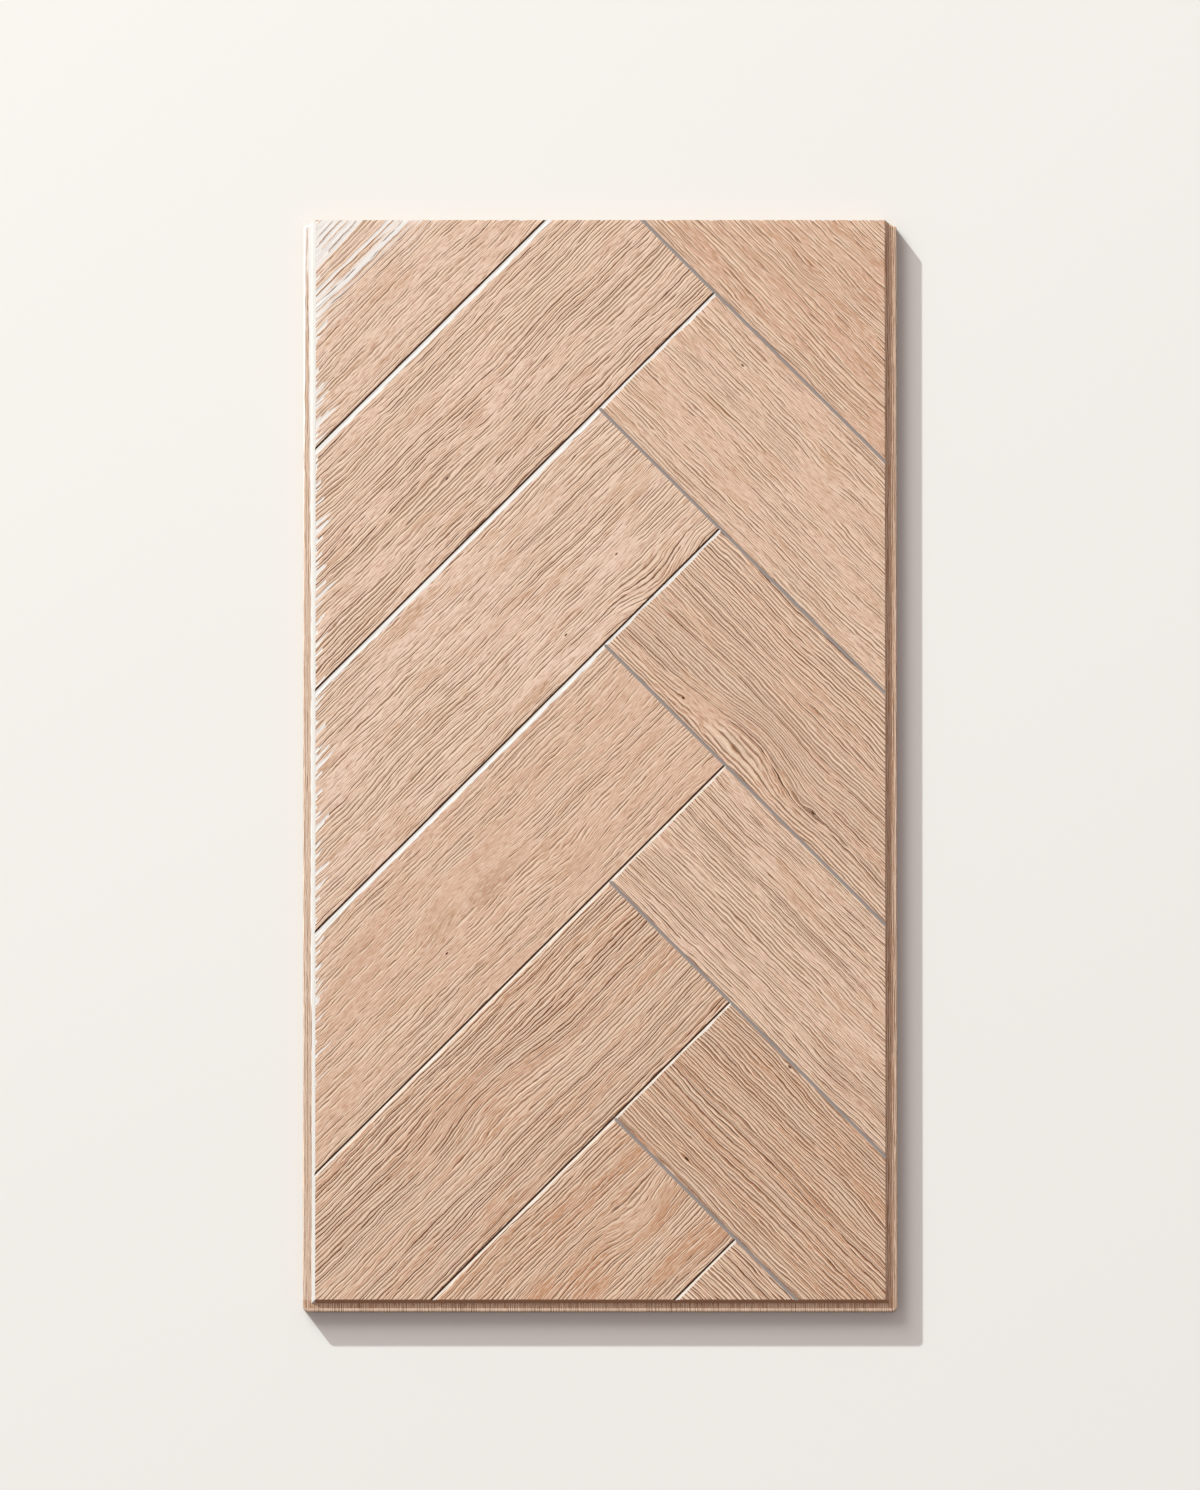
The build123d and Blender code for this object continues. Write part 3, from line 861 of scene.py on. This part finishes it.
    # Grooves too fine for the mesh
    aside = addNode(tree, "ShaderNodeMath", {0: pattern["line"]["aside"]}, operation="ABSOLUTE").outputs[0]
    height = addNode(tree, "ShaderNodeMapRange", {0: aside, 1: 0.1, 2: 0.5}).outputs[0]
    weak = addNode(tree, "ShaderNodeMath", {
        0: 1.0, 1: pattern["line"]["strength"]}, operation="SUBTRACT").outputs[0]
    height = addNode(tree, "ShaderNodeMath", {0: height, 1: weak}, operation="MAXIMUM").outputs[0]
    bump = addNode(tree, "ShaderNodeBump", {
        "Strength": 1.0, "Distance": glaze["bump"] * mm, "Height": height}).outputs[0]
    inLine, onRidge = glaze["roughness"]
    rough = addNode(tree, "ShaderNodeMapRange", {0: height, 3: inLine, 4: onRidge}).outputs[0]
    shader = addNode(tree, "ShaderNodeBsdfPrincipled", {
        "Base Color": colour, "Roughness": rough, "Normal": bump, "IOR": glaze["ior"],
        "Specular IOR Level": glaze["shine"]}).outputs[0]
    addNode(tree, "ShaderNodeOutputMaterial", {0: shader})
    return material


body = {
    "dark": "#8B7866",
    "pale": "#998673",
    "roughness": 0.85,
    "shine": 0.1,
    "bump": 0.05,
    "speckleScale": 900.0,    # to a metre
    "speckleBump": 0.5,
}


# Unglazed fired porcelain body: dense, matt and slightly speckled
def makeBodyMaterial():
    material = bpy.data.materials.new("unglazedFiredPorcelain")
    material.use_nodes = True
    tree = material.node_tree
    tree.nodes.clear()
    at = addNode(tree, "ShaderNodeTexCoord").outputs["Object"]
    speckle = addNode(tree, "ShaderNodeTexNoise", {
        "Vector": at, "Scale": body["speckleScale"], "Detail": 2.0}).outputs[0]
    tone = addNode(tree, "ShaderNodeMapRange", {0: speckle, 1: 0.35, 2: 0.65}).outputs[0]
    colour = addNode(tree, "ShaderNodeMix", {
        0: tone, 6: linear(body["dark"]), 7: linear(body["pale"])}, data_type="RGBA").outputs[2]
    bump = addNode(tree, "ShaderNodeBump", {
        "Strength": body["speckleBump"], "Distance": body["bump"] * mm, "Height": speckle}).outputs[0]
    shader = addNode(tree, "ShaderNodeBsdfPrincipled", {
        "Base Color": colour, "Roughness": body["roughness"],
        "Specular IOR Level": body["shine"], "Normal": bump}).outputs[0]
    addNode(tree, "ShaderNodeOutputMaterial", {0: shader})
    return material


materials = {"print": makePrintMaterial(), "body": makeBodyMaterial()}
piece = bpy.data.objects.new("oak_herringbone_tile", data)
bpy.context.scene.collection.objects.link(piece)
makeRelief(piece, materials)
say("relief pressed,", len(piece.data.polygons), "triangles")
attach(piece, "root")
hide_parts("porcelain_tile")


# A plain pale floor, a low key light from the far left and soft light round it
studio = {
    "floor": "#F9F4EF",
    "keyDirection": (-0.571, 0.753, 0.309),
    "keyShare": 0.38,         # shares of the light on the floor, which add up to one
    "keyColour": "#F3FFFF",
    "keyAngle": 1.2,          # degrees across
    "softDirection": (-0.49, 0.67, 0.56),
    "softShare": 0.26,
    "softDistance": 4.5,      # metres
    "softSize": 2.4,
    "worldShare": 0.36,
    "worldColour": "#FFF4F3",
}


def makeStudio():
    bpy.ops.mesh.primitive_plane_add(size=60)
    floor = bpy.context.object
    floor.name = "studio_floor"
    material = bpy.data.materials.new("paleMattPaper")
    material.use_nodes = True
    tree = material.node_tree
    tree.nodes.clear()
    shader = addNode(tree, "ShaderNodeBsdfPrincipled", {
        "Base Color": linear(studio["floor"]), "Roughness": 0.9, "Specular IOR Level": 0.0}).outputs[0]
    addNode(tree, "ShaderNodeOutputMaterial", {0: shader})
    floor.data.materials.append(material)

    world = bpy.data.worlds.new("studioLight")
    bpy.context.scene.world = world
    world.use_nodes = True
    background = world.node_tree.nodes["Background"]
    background.inputs[0].default_value = linear(studio["worldColour"])
    background.inputs[1].default_value = studio["worldShare"]

    for name, kind in (("key", "SUN"), ("soft", "AREA")):
        light = bpy.data.lights.new(name, kind)
        direction = Vector(studio[name + "Direction"]).normalized()
        lamp = bpy.data.objects.new(name, light)
        if kind == "SUN":
            light.energy = studio["keyShare"] * math.pi / direction.z
            light.angle = math.radians(studio["keyAngle"])
            light.color = linear(studio["keyColour"])[:3]
        else:
            distance = studio["softDistance"]
            light.size = studio["softSize"]
            light.energy = studio["softShare"] * math.pi ** 2 * distance ** 2 / direction.z
            lamp.location = direction * distance
        lamp.rotation_mode = "QUATERNION"
        lamp.rotation_quaternion = direction.to_track_quat("Z", "Y")
        bpy.context.scene.collection.objects.link(lamp)


# A long lens looks almost straight down, from the near side
view = {
    "distance": 14.0,
    "tilt": 3.9,
    "frameHeight": 1490,      # pixels
    "perPixel": 0.5545,       # millimetres at the face
    "aimX": -0.1,             # what the middle of the frame looks at, in millimetres
    "aimY": 11.1,
}


def makeCamera():
    data = bpy.data.cameras.new("camera")
    camera = bpy.data.objects.new("camera", data)
    data.sensor_width = 36.0
    data.lens = data.sensor_width * view["distance"] / (view["frameHeight"] * view["perPixel"] * mm)
    data.clip_start, data.clip_end = 0.1, 100
    tilt = math.radians(view["tilt"])
    aim = Vector((view["aimX"] * mm, view["aimY"] * mm, tile["thickness"] * mm))
    back = Vector((0, -math.sin(tilt), math.cos(tilt)))
    camera.location = aim + back * view["distance"]
    camera.rotation_mode = "QUATERNION"
    camera.rotation_quaternion = back.to_track_quat("Z", "Y")
    bpy.context.scene.collection.objects.link(camera)
    bpy.context.scene.camera = camera


makeStudio()
makeCamera()
bpy.context.scene.view_settings.view_transform = "Standard"
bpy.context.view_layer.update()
say("done")
